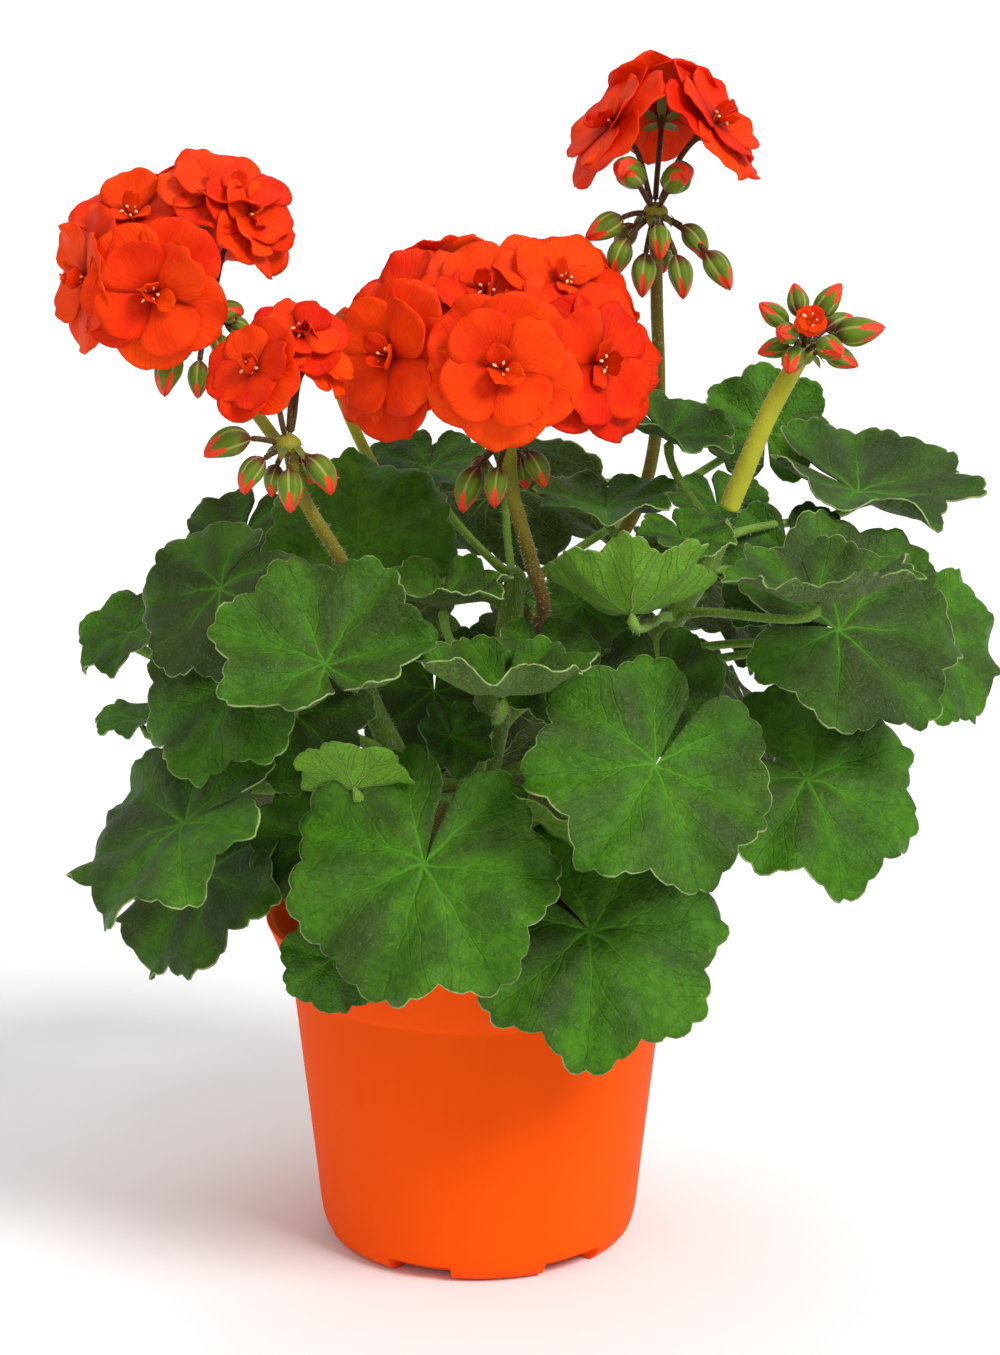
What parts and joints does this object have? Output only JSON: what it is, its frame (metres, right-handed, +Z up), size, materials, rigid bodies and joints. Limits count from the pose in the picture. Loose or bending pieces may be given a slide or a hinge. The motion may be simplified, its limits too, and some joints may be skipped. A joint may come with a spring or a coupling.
{
  "type": "potted zonal geranium",
  "caption": "Bushy zonal geranium in bloom, with round scalloped leaves and domed orange-red flower heads, in a plain flared orange plastic nursery pot.",
  "frame": {"origin": "middle of the pot's foot, on the surface it stands on", "axes": "+Z up along the pot's axis, -Y towards the plant's front, +X to the right as seen from the front"},
  "size_m": [0.2844, 0.22, 0.365],
  "materials": {
    "pot_plastic": "satin orange polypropylene",
    "potting_soil": "moist dark peat with fibres",
    "leaf_green": "velvety mid-green leaf with paler veins",
    "stalk_green": "downy yellow-green to olive-brown stalk",
    "petal_red": "soft vivid orange-red petal"
  },
  "bodies": {
    "root": {"pot": "pot_plastic", "soil": "potting_soil", "leafy_stem_centre": "leaf_green", "leafy_stem_left": "leaf_green", "leafy_stem_right": "leaf_green", "leafy_stem_back": "leaf_green", "flower_stalk_left": "stalk_green", "flower_stalk_low": "stalk_green", "flower_stalk_centre": "stalk_green", "flower_stalk_tall": "stalk_green", "flower_stalk_budding": "stalk_green", "flower_stalk_rear": "stalk_green", "petals_left": "petal_red", "petals_low": "petal_red", "petals_centre": "petal_red", "petals_tall": "petal_red", "petals_budding": "petal_red"}
  },
  "joints": []
}
